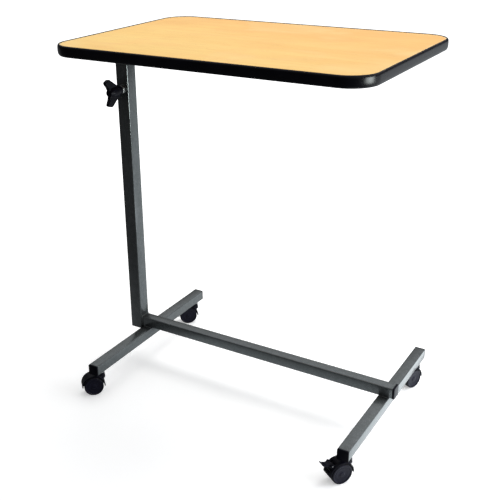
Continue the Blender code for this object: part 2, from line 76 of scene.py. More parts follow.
# =====================================================================================================
# Node graphs
# =====================================================================================================
class Graph:
    """Adds and links the nodes of one material or world."""

    def __init__(self, tree):
        self.tree = tree
        tree.nodes.clear()

    def new(self, kind, inputs=(), **props):
        """A node with its properties set, then its inputs given as {socket: value or output}."""
        node = self.tree.nodes.new("ShaderNode" + kind)
        for key, value in props.items():
            setattr(node, key, value)
        for key, value in dict(inputs).items():
            self.put(node.inputs[key], value)
        return node

    def put(self, socket, value):
        if isinstance(value, bpy.types.NodeSocket):
            self.tree.links.new(value, socket)
        else:
            socket.default_value = (*value, 1.0) if socket.type == "RGBA" else value

    def math(self, operation, *values):
        return self.new("Math", enumerate(values), operation=operation).outputs[0]

    def multiply(self, first, second):
        return self.math("MULTIPLY", first, second)

    def add(self, value, extra, amount=None):
        """value + extra, with extra scaled by amount where one is given."""
        if amount is not None:
            extra = self.multiply(extra, amount)
        return self.math("ADD", value, extra)

    def remap(self, value, span, to=(0.0, 1.0), smooth=True):
        """Carries span onto to, clamped; a falling span inverts."""
        kind = "SMOOTHSTEP" if smooth else "LINEAR"
        inputs = enumerate((value, *span, *to))
        return self.new("MapRange", inputs, interpolation_type=kind).outputs[0]

    def mix(self, base, over, mask, span=None, amount=None):
        """Lays colour over on base where mask, remapped over span and scaled by amount, is high."""
        if span is not None:
            mask = self.remap(mask, span)
        if amount is not None:
            mask = self.multiply(mask, amount)
        return self.new("Mix", {0: mask, 6: base, 7: over}, data_type="RGBA").outputs[2]

    def split(self, vector):
        return self.new("SeparateXYZ", {0: vector}).outputs

    def distance(self, x, y):
        squares = self.math("POWER", x, 2.0), self.math("POWER", y, 2.0)
        return self.math("SQRT", self.add(*squares))


class Material(Graph):
    """A Principled material whose patterns lie in object coordinates, in metres."""

    def __init__(self, name):
        self.mat = bpy.data.materials.new(name)
        self.mat.use_nodes = True
        super().__init__(self.mat.node_tree)
        self.bsdf = self.new("BsdfPrincipled")
        self.new("OutputMaterial", {0: self.bsdf.outputs[0]})
        self.obj = self.new("TexCoord").outputs["Object"]

    def set(self, **values):
        for key, value in values.items():
            self.put(self.bsdf.inputs[key.replace("_", " ")], value)

    def place(self, at=None, stretch=None, turn=(0, 0, 0), shift=(0, 0, 0)):
        """Texture coordinates: at (or the object's own), or the object's own scaled by stretch."""
        if stretch is None:
            return self.obj if at is None else at
        inputs = {"Vector": self.obj, "Scale": stretch, "Rotation": turn, "Location": shift}
        return self.new("Mapping", inputs).outputs[0]

    def noise(self, scale=1.0, detail=3.0, rough=0.5, distort=0.0, **place):
        inputs = {"Vector": self.place(**place), "Scale": scale, "Detail": detail}
        inputs.update({"Roughness": rough, "Distortion": distort})
        return self.new("TexNoise", inputs).outputs[0]

    def cells(self, scale=1.0, smooth=None, out="Distance", **place):
        """Voronoi cells, with soft borders where smooth is given."""
        inputs = {"Vector": self.place(**place), "Scale": scale}
        if smooth is not None:
            inputs["Smoothness"] = smooth
        feature = "F1" if smooth is None else "SMOOTH_F1"
        return self.new("TexVoronoi", inputs, feature=feature).outputs[out]

    def edges(self, radius, span):
        """1 on convex and concave edges within radius of the point, 0 on flats."""
        rounded = self.new("Bevel", {"Radius": radius}, samples=4).outputs[0]
        flat = self.new("NewGeometry").outputs["Normal"]
        dot = self.new("VectorMath", {0: rounded, 1: flat}, operation="DOT_PRODUCT")
        return self.remap(self.math("SUBTRACT", 1.0, dot.outputs["Value"]), span)

    def relief(self, *layers):
        """Stacks bumps onto the surface: each layer is (height, strength, distance in metres)."""
        normal = None
        for height, strength, distance in layers:
            inputs = {"Height": height, "Strength": strength, "Distance": distance}
            if normal is not None:
                inputs["Normal"] = normal
            normal = self.new("Bump", inputs).outputs[0]
        self.set(Normal=normal)


# =====================================================================================================
# Materials
# =====================================================================================================
def frame_paint():
    """Grey hammertone enamel: mottled metal flake, shallow hammered cells, scuffed edges."""
    g = Material("look_frame_paint")
    mottle = g.noise(scale=125.0, detail=4.0, rough=0.62, distort=0.6)
    drift = g.noise(scale=30.0, rough=0.55)
    hammer = g.remap(g.cells(scale=430.0, smooth=0.55), span=(0.12, 0.62))
    flake = g.noise(scale=2600.0, detail=2.0, rough=0.7)
    tone = g.mix((0.165, 0.180, 0.184), (0.222, 0.238, 0.246), mottle, span=(0.34, 0.66))
    tone = g.mix(tone, (0.160, 0.180, 0.170), drift, span=(0.40, 0.70), amount=0.30)
    tone = g.mix(tone, (0.110, 0.122, 0.126), hammer, amount=0.30)
    tone = g.mix(tone, (0.36, 0.38, 0.39), flake, span=(0.55, 0.75), amount=0.25)
    # painted shade: darkened corners and joints, where the frame shades itself
    painted_corner_shade = g.new("AmbientOcclusion", {"Distance": 0.045}, samples=6).outputs["AO"]
    tone = g.mix(tone, (0.012, 0.013, 0.014), g.remap(painted_corner_shade, span=(0.93, 0.45), to=(0.0, 0.80)))
    # rubbed edges, chipped in places
    worn = g.edges(radius=0.0011, span=(0.04, 0.20))
    chips = g.remap(g.noise(scale=420.0, detail=4.0, rough=0.65), span=(0.56, 0.66))
    wear = g.multiply(worn, chips)
    tone = g.mix(tone, (0.26, 0.275, 0.28), worn, amount=0.10)
    tone = g.mix(tone, (0.36, 0.37, 0.37), wear, amount=0.22)
    dust = g.noise(scale=60.0, detail=5.0, rough=0.6)
    tone = g.mix(tone, (0.34, 0.34, 0.33), g.remap(dust, span=(0.54, 0.80), to=(0.0, 0.08)))
    rough = g.remap(hammer, span=(0.0, 1.0), to=(0.13, 0.19), smooth=False)
    rough = g.add(rough, g.remap(mottle, span=(0.3, 0.7)), amount=0.06)
    g.set(Base_Color=tone, Metallic=g.add(0.74, wear, amount=0.2), Roughness=rough)
    g.set(Specular_IOR_Level=0.4, Coat_Weight=0.35, Coat_Roughness=0.10)
    g.relief((mottle, 0.10, 0.00035), (hammer, 0.34, 0.00010), (flake, 0.10, 0.00003))
    return g.mat


def moulded(name, dark, light, wear_tone, rough, grain, strength):
    """Injection-moulded plastic: fine grain, uneven gloss, rubbed edges and light dust."""
    g = Material(name)
    cloud = g.noise(scale=70.0, detail=4.0, rough=0.55)
    fine = g.noise(scale=grain, rough=0.6)
    pits = g.cells(scale=grain * 1.6)
    glint = tuple(channel * 2.0 + 0.004 for channel in light)
    tone = g.mix(dark, light, cloud, span=(0.35, 0.68))
    tone = g.mix(tone, glint, fine, span=(0.5, 0.8), amount=0.20)
    worn = g.edges(radius=0.0008, span=(0.05, 0.30))
    patchy = g.remap(g.noise(scale=300.0, rough=0.6), span=(0.42, 0.62), to=(0.25, 0.85))
    tone = g.mix(tone, wear_tone, g.multiply(worn, patchy), amount=0.45)
    dust = g.noise(scale=130.0, detail=6.0, rough=0.65)
    tone = g.mix(tone, (0.15, 0.147, 0.14), g.remap(dust, span=(0.57, 0.84), to=(0.0, 0.05)))
    scratch = g.noise(detail=2.0, rough=0.6, stretch=(60.0, 900.0, 90.0), turn=(0.3, 0.5, 0.8))
    gloss = g.add(rough - 0.08, cloud, amount=0.16)
    gloss = g.add(gloss, g.remap(scratch, span=(0.60, 0.75), to=(0.0, 0.10)))
    g.set(Base_Color=tone, Specular_IOR_Level=0.12, Roughness=gloss)
    g.relief((fine, strength, 0.00006), (pits, strength * 0.6, 0.00003))
    return g.mat


def black_plastic():
    return moulded(
        "look_black_plastic", dark=(0.0030, 0.0029, 0.0062), light=(0.0062, 0.0062, 0.0125),
        wear_tone=(0.040, 0.040, 0.044), rough=0.36, grain=900.0, strength=0.22,
    )


def nylon():
    return moulded(
        "look_nylon", dark=(0.035, 0.035, 0.038), light=(0.060, 0.060, 0.062),
        wear_tone=(0.14, 0.14, 0.14), rough=0.50, grain=1300.0, strength=0.15,
    )


def wheel_plastic():
    """Polyamide wheel: blue-black disc, greyer scuffed tread. Local Z is the axle."""
    g = Material("look_wheel_plastic")
    x, y, _ = g.split(g.obj)
    radius = g.distance(x, y)
    tread = g.remap(radius, span=(0.0190, 0.0198))
    cloud = g.noise(scale=160.0, detail=4.0, rough=0.6)
    fine = g.noise(scale=1500.0, rough=0.6)
    tone = g.mix((0.0046, 0.0044, 0.0125), (0.0088, 0.0088, 0.0215), cloud, span=(0.32, 0.68))
    tone = g.mix(tone, (0.024, 0.025, 0.044), fine, span=(0.5, 0.78), amount=0.25)
    # faint circular machining of the disc
    rings = {"W": radius, "Scale": 2600.0, "Detail": 2.0}
    rings = g.new("TexNoise", rings, noise_dimensions="1D").outputs[0]
    tone = g.mix(tone, (0.024, 0.024, 0.026), tread, amount=0.55)
    grime = g.remap(g.noise(scale=320.0, detail=5.0, rough=0.7), span=(0.50, 0.72))
    tone = g.mix(tone, (0.085, 0.080, 0.074), g.multiply(grime, tread), amount=0.50)
    dust = g.noise(scale=90.0, detail=5.0, rough=0.6)
    tone = g.mix(tone, (0.14, 0.14, 0.14), g.remap(dust, span=(0.56, 0.82), to=(0.0, 0.06)))
    worn = g.edges(radius=0.0007, span=(0.05, 0.28))
    tone = g.mix(tone, (0.055, 0.058, 0.068), worn, amount=0.25)
    rough = g.add(0.30, cloud, amount=0.16)
    rough = g.add(rough, tread, amount=0.22)
    g.set(Base_Color=tone, Specular_IOR_Level=0.24, Roughness=rough)
    scuff = g.noise(detail=4.0, rough=0.7, stretch=(700.0, 700.0, 90.0))
    g.relief((fine, 0.22, 0.00005), (rings, 0.12, 0.00003), (g.multiply(scuff, tread), 0.5, 0.00012))
    return g.mat


def sheet_rim(g, x, y):
    """1 on a thin line along the sheet's outline, from the distance to a rounded rectangle."""
    corner = (TOP_CORNER - SHEET_INSET) * MM
    past_x = g.math("SUBTRACT", g.math("ABSOLUTE", x), (PRINT_HALF_X - TOP_CORNER) * MM)
    past_y = g.math("SUBTRACT", g.math("ABSOLUTE", y), (PRINT_HALF_Y - TOP_CORNER) * MM)
    out_x, out_y = g.math("MAXIMUM", past_x, 0.0), g.math("MAXIMUM", past_y, 0.0)
    reach = g.math("SQRT", g.add(g.multiply(out_x, out_x), g.multiply(out_y, out_y)))
    reach = g.add(reach, g.math("MINIMUM", g.math("MAXIMUM", past_x, past_y), 0.0))
    return g.remap(reach, span=(corner - 0.0030, corner - 0.0008))


def beech_laminate():
    """Satin laminate with a pale beech print: soft cathedral figure along X, short dark flecks."""
    g = Material("look_beech_laminate")
    x, y, _ = g.split(g.obj)
    # long, slightly wandering growth bands that run along X
    sway = g.noise(stretch=(2.2, 5.0, 1.0))
    swayed = g.add(y, g.math("SUBTRACT", sway, 0.5), amount=0.09)
    along = g.new("CombineXYZ", {0: g.multiply(x, 1.1), 1: g.multiply(swayed, 17.0)}).outputs[0]
    bands = g.noise(detail=5.0, rough=0.55, distort=0.35, at=along)
    fibre = g.noise(detail=4.0, rough=0.62, distort=0.2, stretch=(14.0, 620.0, 50.0))
    hair = g.noise(rough=0.7, stretch=(45.0, 1500.0, 50.0))
    streak = g.noise(detail=4.0, rough=0.6, distort=0.3, stretch=(7.0, 230.0, 20.0))
    patch = g.noise(rough=0.55, distort=0.6, stretch=(5.5, 7.5, 1.0))
    # paler towards -X -Y, redder towards +X +Y
    slope = g.add(g.multiply(y, 1.9), x, amount=0.55)
    slope = g.add(slope, g.math("SUBTRACT", patch, 0.5), amount=0.9)
    tone = g.mix((1.0, 0.690, 0.250), (0.895, 0.505, 0.182), slope, span=(-0.48, 0.55))
    tone = g.mix(tone, (0.80, 0.43, 0.135), bands, span=(0.36, 0.66), amount=0.18)
    tone = g.mix(tone, (0.97, 0.72, 0.33), bands, span=(0.60, 0.30), amount=0.16)
    tone = g.mix(tone, (0.80, 0.42, 0.13), streak, span=(0.46, 0.70), amount=0.20)
    tone = g.mix(tone, (0.70, 0.36, 0.11), fibre, span=(0.48, 0.72), amount=0.30)
    tone = g.mix(tone, (0.60, 0.29, 0.09), hair, span=(0.52, 0.76), amount=0.24)
    # beech rays: short dark dashes along the grain
    ray = g.remap(g.cells(stretch=(85.0, 620.0, 60.0)), span=(0.26, 0.12))
    pick = g.remap(g.noise(detail=2.0, stretch=(30.0, 60.0, 20.0)), span=(0.42, 0.60))
    tone = g.mix(tone, (0.48, 0.22, 0.07), g.multiply(ray, pick), amount=0.42)
    tone = g.mix(tone, (1.0, 0.79, 0.40), patch, span=(0.54, 0.72), amount=0.30)
    blush = g.noise(
        detail=4.0, rough=0.6, distort=1.0, stretch=(8.0, 13.0, 1.0), shift=(3.1, 1.7, 0)
    )
    tone = g.mix(tone, (0.93, 0.50, 0.19), blush, span=(0.46, 0.70), amount=0.22)
    # a thin paler line where the sheet meets the moulding
    tone = g.mix(tone, (1.0, 0.86, 0.56), sheet_rim(g, x, y), amount=0.55)
    smear = g.noise(detail=5.0, rough=0.6, distort=0.8, stretch=(9.0, 14.0, 1.0))
    scratch = g.noise(detail=1.0, stretch=(24.0, 900.0, 1.0), turn=(0, 0, 0.5))
    rough = g.add(0.36, smear, amount=0.16)
    rough = g.add(rough, g.remap(scratch, span=(0.70, 0.80), to=(0.0, 0.08)))
    g.set(Base_Color=tone, Roughness=rough, Specular_IOR_Level=0.35)
    pore = g.noise(rough=0.6, stretch=(130.0, 2100.0, 50.0))
    g.relief((pore, 0.10, 0.00004), (g.noise(scale=1500.0, detail=2.0), 0.05, 0.00003))
    return g.mat


def edge_pvc():
    """Glossy black extruded PVC: orange peel, faint drawing lines, light scuffs."""
    g = Material("look_edge_pvc")
    cloud = g.noise(scale=26.0, detail=4.0, rough=0.55)
    peel = g.noise(scale=420.0, detail=2.0, rough=0.45)
    fine = g.noise(scale=1900.0, rough=0.6)
    draw = g.noise(detail=2.0, stretch=(8.0, 8.0, 2200.0))
    tone = g.mix((0.0022, 0.0021, 0.0048), (0.0046, 0.0045, 0.0095), cloud, span=(0.35, 0.7))
    tone = g.mix(tone, (0.012, 0.012, 0.014), fine, span=(0.55, 0.8), amount=0.2)
    scuff = g.noise(detail=5.0, rough=0.7, stretch=(60.0, 60.0, 240.0))
    scuff = g.multiply(g.remap(scuff, span=(0.60, 0.74)), 0.35)
    tone = g.mix(tone, (0.018, 0.018, 0.020), scuff)
    rough = g.add(0.22, cloud, amount=0.12)
    rough = g.add(rough, scuff, amount=0.5)
    g.set(Base_Color=tone, Roughness=rough, Specular_IOR_Level=0.32)
    g.relief((peel, 0.16, 0.00008), (draw, 0.10, 0.00003))
    return g.mat


def board_core():
    """The board from below: brown backing paper, chips showing faintly through."""
    g = Material("look_board_core")
    chip_stretch = (190.0, 330.0, 190.0)
    chips = g.new("SeparateColor", {0: g.cells(out="Color", stretch=chip_stretch)}).outputs[0]
    cloud = g.noise(scale=9.0, detail=4.0, rough=0.55)
    fibre = g.noise(rough=0.6, stretch=(60.0, 900.0, 300.0))
    tone = g.mix((0.40, 0.27, 0.155), (0.50, 0.35, 0.21), cloud, span=(0.3, 0.7))
    tone = g.mix(tone, (0.27, 0.165, 0.085), chips, amount=0.28)
    tone = g.mix(tone, (0.62, 0.46, 0.29), fibre, span=(0.5, 0.8), amount=0.30)
    g.set(Base_Color=tone, Roughness=g.add(0.68, cloud, amount=0.2))
    swell = g.cells(smooth=0.3, stretch=chip_stretch)
    g.relief((swell, 0.25, 0.00012), (g.noise(scale=1300.0, rough=0.6), 0.18, 0.00006))
    return g.mat


def zinc_steel():
    """Bright zinc plate: soft blotches, fine grinding lines, brighter edges, small stains."""
    g = Material("look_zinc_steel")
    cloud = g.noise(scale=240.0, detail=4.0, rough=0.6)
    fine = g.noise(detail=2.0, rough=0.6, stretch=(900.0, 900.0, 3800.0))
    tone = g.mix((0.50, 0.515, 0.53), (0.64, 0.635, 0.60), cloud, span=(0.3, 0.7))
    worn = g.edges(radius=0.0006, span=(0.05, 0.3))
    tone = g.mix(tone, (0.72, 0.72, 0.70), worn, amount=0.4)
    stain = g.remap(g.noise(scale=520.0, detail=5.0, rough=0.7), span=(0.60, 0.74))
    tone = g.mix(tone, (0.26, 0.24, 0.20), stain, amount=0.35)
    rough = g.add(0.24, cloud, amount=0.20)
    rough = g.add(rough, stain, amount=0.15)
    g.set(Base_Color=tone, Metallic=1.0, Roughness=rough)
    g.relief((fine, 0.16, 0.00003))
    return g.mat


LOOK = {
    "frame_paint": frame_paint(),
    "black_plastic": black_plastic(),
    "wheel_plastic": wheel_plastic(),
    "beech_laminate": beech_laminate(),
    "board_core": board_core(),
    "edge_pvc": edge_pvc(),
    "zinc_steel": zinc_steel(),
    "nylon": nylon(),
}


# =====================================================================================================
# Mesh helpers, all in millimetres
# =====================================================================================================
def obj_from(name, verts, faces):
    mesh = bpy.data.meshes.new(name)
    mesh.from_pydata([tuple(vert) for vert in verts], [], [tuple(face) for face in faces])
    mesh.update()
    bm = bmesh.new()
    bm.from_mesh(mesh)
    bmesh.ops.remove_doubles(bm, verts=bm.verts, dist=1e-5)
    bmesh.ops.recalc_face_normals(bm, faces=bm.faces)
    bm.to_mesh(mesh)
    bm.free()
    obj = bpy.data.objects.new(name, mesh)
    scene.collection.objects.link(obj)
    return obj


def drop(obj):
    """Removes an object and its mesh."""
    mesh = obj.data
    bpy.data.objects.remove(obj, do_unlink=True)
    bpy.data.meshes.remove(mesh)


def prism(name, outline, start, end, plane="YZ"):
    """A closed outline given thickness: along +X from the YZ plane, along -Y from the XZ plane."""

    def place(u, v, depth):
        return (depth, u, v) if plane == "YZ" else (u, -depth, v)

    n = len(outline)
    verts = [place(u, v, depth) for depth in (start, end) for u, v in outline]
    faces = [(i, (i + 1) % n, n + (i + 1) % n, n + i) for i in range(n)]
    faces += [tuple(range(n)), tuple(reversed(range(n, 2 * n)))]
    return obj_from(name, verts, faces)


def turned(name, profile, steps):
    """A solid turned about Z from a profile of (radius, z) that starts and ends on the axis."""
    verts, faces, rings = [], [], []
    for radius, z in profile:
        count = 1 if radius == 0 else steps
        rings.append(list(range(len(verts), len(verts) + count)))
        for i in range(count):
            angle = 2 * math.pi * i / steps
            verts.append((radius * math.cos(angle), radius * math.sin(angle), z))
    for a, b in zip(rings, rings[1:]):
        for i in range(steps):
            j = (i + 1) % steps
            if len(a) == 1:
                faces.append((a[0], b[i], b[j]))
            elif len(b) == 1:
                faces.append((a[i], b[0], a[j]))
            else:
                faces.append((a[i], b[i], b[j], a[j]))
    return obj_from(name, verts, faces)


def rounded_profile(rows, segments):
    """Points of (radius, z) from rows of (radius, z, rounding) with the inner corners rounded."""
    points = [row[:2] for row in rows]
    out = [points[0]]
    for i in range(1, len(rows) - 1):
        rounding = rows[i][2]
        corner = Vector(points[i])
        if rounding <= 0:
            out.append(tuple(corner))
            continue
        back, ahead = Vector(points[i - 1]) - corner, Vector(points[i + 1]) - corner
        cut = rounding / math.tan(back.angle(ahead) / 2)
        cut = min(cut, back.length * 0.49, ahead.length * 0.49)
        start = corner + back.normalized() * cut
        end = corner + ahead.normalized() * cut
        for k in range(segments + 1):
            t = k / segments
            out.append(tuple(start * (1 - t) ** 2 + corner * 2 * t * (1 - t) + end * t ** 2))
    out.append(points[-1])
    return out


def smooth_outline(points, steps=5, tension=0.9):
    """A closed cardinal spline through the points."""
    out, count = [], len(points)
    for i in range(count):
        p0, p1, p2, p3 = (Vector(points[(i + k - 1) % count]) for k in range(4))
        leave, arrive = (p2 - p0) * 0.5 * tension, (p3 - p1) * 0.5 * tension
        for k in range(steps):
            t = k / steps
            point = p1 * (2 * t ** 3 - 3 * t ** 2 + 1) + leave * (t ** 3 - 2 * t ** 2 + t)
            point = point + p2 * (-2 * t ** 3 + 3 * t ** 2) + arrive * (t ** 3 - t ** 2)
            out.append((point.x, point.y))
    return out


def circle(radius, steps, u=0.0, v=0.0):
    angles = [2 * math.pi * i / steps for i in range(steps)]
    return [(u + radius * math.cos(a), v + radius * math.sin(a)) for a in angles]


def plug(radius, top, bottom):
    """A plain cylinder about Z, for cutting bores."""
    return turned("bore", [(0, top), (radius, top), (radius, bottom), (0, bottom)], 40)


def apply_all(obj):
    """The object's evaluated mesh becomes its own mesh."""
    bpy.context.view_layer.update()
    depsgraph = bpy.context.evaluated_depsgraph_get()
    mesh = bpy.data.meshes.new_from_object(obj.evaluated_get(depsgraph))
    obj.modifiers.clear()
    old = obj.data
    obj.data = mesh
    bpy.data.meshes.remove(old)


def boolean(obj, steps):
    """steps is a list of (operation, tool object); the tools are removed."""
    for operation, tool in steps:
        mod = obj.modifiers.new(operation, "BOOLEAN")
        mod.operation = operation
        mod.solver = "EXACT"
        mod.object = tool
    apply_all(obj)
    for _, tool in steps:
        drop(tool)


def remesh(obj, voxel, relax_steps, keep):
    """Melts the joints between solids into one skin: voxels, relaxing, then thinning to keep."""
    skin = obj.modifiers.new("skin", "REMESH")
    skin.mode = "VOXEL"
    skin.voxel_size = voxel
    skin.adaptivity = 0.0
    relax = obj.modifiers.new("relax", "SMOOTH")
    relax.factor = 0.5
    relax.iterations = relax_steps
    thin = obj.modifiers.new("thin", "DECIMATE")
    thin.decimate_type = "COLLAPSE"
    thin.ratio = keep
    apply_all(obj)


def shade(obj, angle=None):
    """Smooth shading, broken at edges sharper than angle where one is given."""
    mesh = obj.data
    mesh.polygons.foreach_set("use_smooth", [True] * len(mesh.polygons))
    if angle is not None:
        mesh.set_sharp_from_angle(angle=math.radians(angle))
    mesh.update()


def bevel(obj, width, segments, angle):
    mod = obj.modifiers.new("edges", "BEVEL")
    mod.width = width
    mod.segments = segments
    mod.limit_method = "ANGLE"
    mod.angle_limit = math.radians(angle)
    mod.miter_outer = "MITER_ARC"
    apply_all(obj)


def settle(obj, matrix, body, slot, replaces=None):
    """mm to metres, into place, onto its body, with its finish and the CAD node it replaces."""
    obj.data.transform(Matrix.Scale(MM, 4))
    obj.matrix_world = matrix
    obj.data.materials.clear()
    obj.data.materials.append(LOOK[slot])
    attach(obj, body)
    if replaces:
        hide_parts(replaces)


# =====================================================================================================
# Carried-over CAD nodes: welded vertices, eased edges, shading by angle, and their finish
# =====================================================================================================
EASED = {  # edge bevel width in mm: the nodes that get it
    0.55: (
        "column_bottom_plug", "spine_end_cap", "column_foot_front_plug", "column_foot_rear_plug",
        "far_foot_front_plug", "far_foot_rear_plug", "rail_plug_left", "rail_plug_right",
    ),
    0.4: ("cross_strap_near_column", "cross_strap_far", "clamp_boss", "column_top_bush"),
    0.12: (
        "column_outer_tube", "spine_tube", "column_foot_tube", "far_foot_tube", "inner_tube",
        "support_rail",
    ),
}
EASE_OF = {name: width for width, names in EASED.items() for name in names}
WELD_DISTANCE = 0.000002  # m
SHARP_ANGLE = math.radians(34.0)


def smooth_group():
    """Geometry nodes: drop the imported normals, then shade smooth except across sharp edges."""
    tree = bpy.data.node_groups.new("shade_by_angle", "GeometryNodeTree")
    for direction in ("INPUT", "OUTPUT"):
        tree.interface.new_socket("Geometry", in_out=direction, socket_type="NodeSocketGeometry")
    group_in, group_out = tree.nodes.new("NodeGroupInput"), tree.nodes.new("NodeGroupOutput")
    angle = tree.nodes.new("GeometryNodeInputMeshEdgeAngle")
    sharp = tree.nodes.new("FunctionNodeCompare")
    sharp.data_type = "FLOAT"
    sharp.operation = "GREATER_THAN"
    sharp.inputs[1].default_value = SHARP_ANGLE
    normal = tree.nodes.new("GeometryNodeSetMeshNormal")
    normal.mode = "SHARPNESS"
    normal.inputs["Remove Custom"].default_value = True
    tree.links.new(angle.outputs[0], sharp.inputs[0])
    tree.links.new(group_in.outputs[0], normal.inputs["Mesh"])
    tree.links.new(sharp.outputs[0], normal.inputs["Edge Sharpness"])
    tree.links.new(normal.outputs[0], group_out.inputs[0])
    return tree


def dress(name, shading):
    node = nodes[name]
    weld = node.modifiers.new("weld", "WELD")
    weld.merge_threshold = WELD_DISTANCE
    if name in EASE_OF:
        ease = node.modifiers.new("ease", "BEVEL")
        ease.width = EASE_OF[name] * MM
        ease.segments = 3
        ease.limit_method = "ANGLE"
        ease.angle_limit = math.radians(45.0)
        ease.harden_normals = False
    node.modifiers.new("shade", "NODES").node_group = shading
    node.data.materials.clear()
    node.data.materials.append(LOOK[slot_of[name]])


shade_by_angle = smooth_group()
for node_name in nodes:
    dress(node_name, shade_by_angle)

# =====================================================================================================
# Table top: edge moulding, laminate sheet and the screws under the straps
# =====================================================================================================
top_lo, top_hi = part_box("edge_moulding")
TOP_HALF_X = (top_hi.x - top_lo.x) / 2 / MM
TOP_HALF_Y = (top_hi.y - top_lo.y) / 2 / MM
TOP = Matrix.Translation(((top_hi.x + top_lo.x) / 2, (top_hi.y + top_lo.y) / 2, 0.0))
CORNER_STEPS, STRAIGHT_STEPS = 30, 12

LIP = 0.4  # the visible lip stands this much higher than the CAD moulding
CROWN_DEPTH = 3.72  # how far in the rounded outer face reaches
BACK_DEPTH = 4.0  # the moulding's flat back
BARB_START, BARB_PITCH, BARBS = 5.2, 2.3, 3  # barbs of the hidden tongue
BARB = ((0.0, -0.75), (0.9, -1.15), (1.1, -0.75))  # (inset from the barb's start, z)
TONGUE_TIP = [(11.9, -0.55), (12.1, 0.0), (11.9, 0.55)]  # (inset, z)


def top_path(inset):
    """Points and outward normals (x, y, nx, ny) round the top's outline, moved in by inset."""
    radius = TOP_CORNER - inset
    cx, cy = TOP_HALF_X - inset - radius, TOP_HALF_Y - inset - radius
    centres = ((cx, cy), (-cx, cy), (-cx, -cy), (cx, -cy))
    out = []
    for k, (x, y) in enumerate(centres):
        for i in range(CORNER_STEPS + 1):
            angle = math.radians(90 * k + 90 * i / CORNER_STEPS)
            nx, ny = math.cos(angle), math.sin(angle)
            out.append((x + radius * nx, y + radius * ny, nx, ny))
        next_x, next_y = centres[(k + 1) % 4]
        start = (x + radius * nx, y + radius * ny)
        end = (next_x + radius * nx, next_y + radius * ny)
        for i in range(1, STRAIGHT_STEPS):
            t = i / STRAIGHT_STEPS
            point = [a * (1 - t) + b * t for a, b in zip(start, end)]
            out.append((*point, nx, ny))
    return out


def moulding_profile():
    """The moulding's closed section as (inset, z): back, crown, back, barbed tongue."""
    bottom, top = top_lo.z / MM, top_hi.z / MM
    middle, half = (bottom + top) / 2, (top - bottom) / 2
    lip = top + LIP
    profile = [(BACK_DEPTH, middle + 1.2), (BACK_DEPTH, top - 0.75)]
    profile += [(BACK_DEPTH, lip - 0.22), (3.88, lip - 0.04)]
    for i in range(25):  # a superellipse, squarer above than below
        angle = math.radians(90 - 180 * i / 24)
        c, s = math.cos(angle), math.sin(angle)
        power = 2.0 / (3.1 if s > 0 else 2.3)
        rise = half + (LIP if s > 0 else 0.0)
        z = middle + math.copysign(abs(s) ** power, s) * rise
        profile.append((CROWN_DEPTH - CROWN_DEPTH * abs(c) ** power, z))
    profile += [(3.80, bottom + 0.05), (3.96, bottom + 0.30)]
    profile += [(BACK_DEPTH, bottom + 0.75), (BACK_DEPTH, middle - 1.2)]
    starts = [BARB_START + BARB_PITCH * k for k in range(BARBS)]
    lower = [(start + inset, z) for start in starts for inset, z in BARB]
    upper = [(inset, -z) for inset, z in reversed(lower)]
    return profile + [(inset, middle + z) for inset, z in lower + TONGUE_TIP + upper]


def edge_moulding():
    path, profile = top_path(0.0), moulding_profile()
    n, m = len(path), len(profile)
    verts = [(x - nx * inset, y - ny * inset, z) for x, y, nx, ny in path for inset, z in profile]
    faces = []
    for i in range(n):
        here, ahead = i * m, (i + 1) % n * m
        for j in range(m):
            k = (j + 1) % m
            faces.append((here + j, here + k, ahead + k, ahead + j))
    moulding = obj_from("edge_moulding_skin", verts, faces)
    shade(moulding, 40.0)
    settle(moulding, TOP, "table_top", "edge_pvc", "edge_moulding")


def laminate_sheet():
    lo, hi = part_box("tabletop_laminate")
    bottom, top = lo.z / MM, hi.z / MM
    path = top_path(SHEET_INSET)
    n = len(path)
    rows = (  # (inset, z) from the underside over the eased edge to the upper face
        (1.0, bottom), (0.0, bottom), (0.0, top - 0.28), (0.10, top - 0.08), (0.34, top), (6.0, top)
    )
    verts = [(x - nx * inset, y - ny * inset, z) for inset, z in rows for x, y, nx, ny in path]
    faces = []
    for k in range(len(rows) - 1):
        low, high = k * n, (k + 1) * n
        faces += [(low + i, low + (i + 1) % n, high + (i + 1) % n, high + i) for i in range(n)]
    faces += [tuple(reversed(range(n))), tuple(range((len(rows) - 1) * n, len(rows) * n))]
    sheet = obj_from("laminate_sheet", verts, faces)
    shade(sheet, 30.0)
    settle(sheet, TOP, "table_top", "beech_laminate", "tabletop_laminate")


SCREW = (  # radius, z, rounding: from the point above down to the pan head
    (0, 18.4, 0), (0.5, 17.9, 0), (1.35, 14.4, 0), (1.35, 2.9, 0.3), (4.2, 2.9, 0.25),
    (4.2, 1.5, 0.4), (2.9, 0.25, 1.4), (0, 0.0, 0),
)
RECESS = [(-2.15, -0.6), (2.15, -0.6), (0.75, 2.0), (-0.75, 2.0)]  # blade of the cross, (x, z)
RECESS_HALF = 0.45
THREAD_START, THREAD_PITCH, THREAD_TURNS, THREAD_STEPS = 3.4, 1.75, 6, 28
THREAD_ROOT, THREAD_DEPTH, THREAD_HALF = 1.2, 0.65, 0.42
SHANK_RADIUS = 1.35


